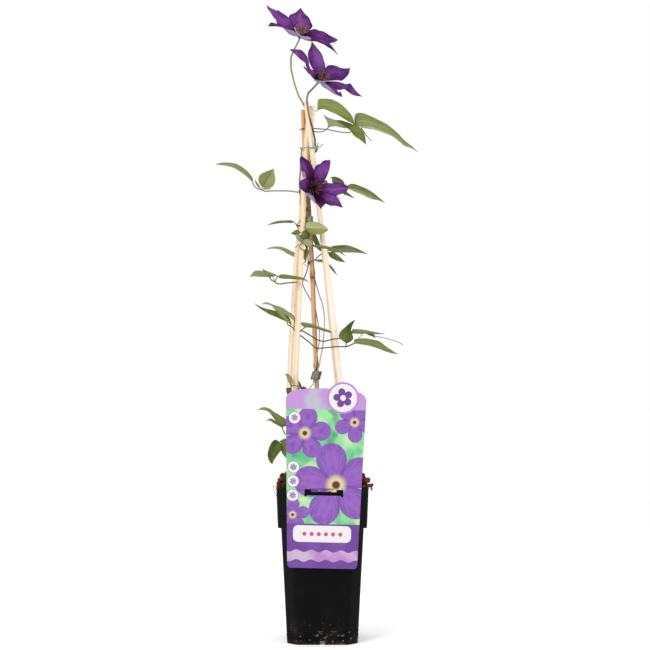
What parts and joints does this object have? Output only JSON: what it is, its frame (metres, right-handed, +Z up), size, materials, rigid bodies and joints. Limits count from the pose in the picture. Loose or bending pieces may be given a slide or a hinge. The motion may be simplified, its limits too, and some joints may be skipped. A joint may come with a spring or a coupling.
{
  "type": "clematis plant on a trellis",
  "caption": "Slender clematis in bloom, trained up a tripod of peeled sticks and a cane in a tall square nursery pot with a printed plant label hooked over its rim.",
  "frame": {"origin": "under the middle of the pot's base, on the surface that it stands on", "axes": "+Z up along the sticks; -Y towards the front, where the label hangs; +X to the right seen from the front"},
  "size_m": [0.2436, 0.1111, 0.7668],
  "materials": {
    "pot": "satin",
    "soil": "matte",
    "stick": "satin",
    "cane": "satin",
    "leaf": "satin",
    "petal": "satin",
    "stamen": "matte",
    "wire": "satin",
    "clip": "matte",
    "label": "satin"
  },
  "bodies": {
    "root": {"pot": "pot", "soil": "soil", "stick_right": "stick", "stick_left_front": "stick", "stick_left_back": "stick", "bamboo_cane": "cane", "leafy_stem_tall": "leaf", "leafy_stem_middle": "leaf", "leafy_stem_low": "leaf", "bloom_top_petals": "petal", "bloom_top_stamens": "stamen", "bloom_right_petals": "petal", "bloom_right_stamens": "stamen", "bloom_front_petals": "petal", "bloom_front_stamens": "stamen", "tie_wire": "wire", "cane_clip_lower": "clip", "cane_clip_upper": "clip", "label": "label"}
  },
  "joints": []
}
